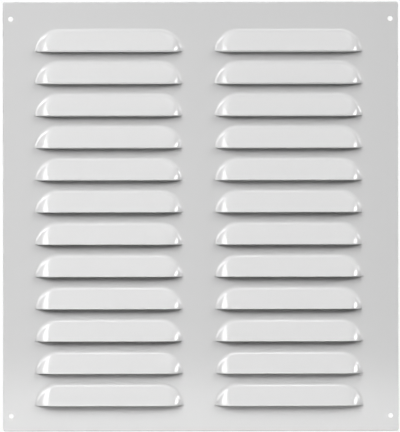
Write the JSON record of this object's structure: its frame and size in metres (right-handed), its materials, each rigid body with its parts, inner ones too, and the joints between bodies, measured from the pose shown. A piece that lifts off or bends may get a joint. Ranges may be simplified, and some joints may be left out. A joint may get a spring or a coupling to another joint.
{
  "type": "louvred sheet metal panel",
  "caption": "Flat rectangular sheet metal vent panel with two columns of pressed, hooded louvres that open downwards and a screw hole in each corner.",
  "frame": {"origin": "centre of the panel's outline, on its flat back face", "axes": "+X across the panel to the right as seen from the front, +Y up the panel towards the edge that is at the top in use, +Z out of the front face, the way the louvres stand out; the louvre mouths open towards -Y"},
  "size_m": [0.35, 0.38, 0.0087],
  "materials": {
    "white_powder_coat": "glossy white powder coat over sheet steel"
  },
  "bodies": {
    "root": {"louvred_panel": "white_powder_coat"}
  },
  "joints": []
}
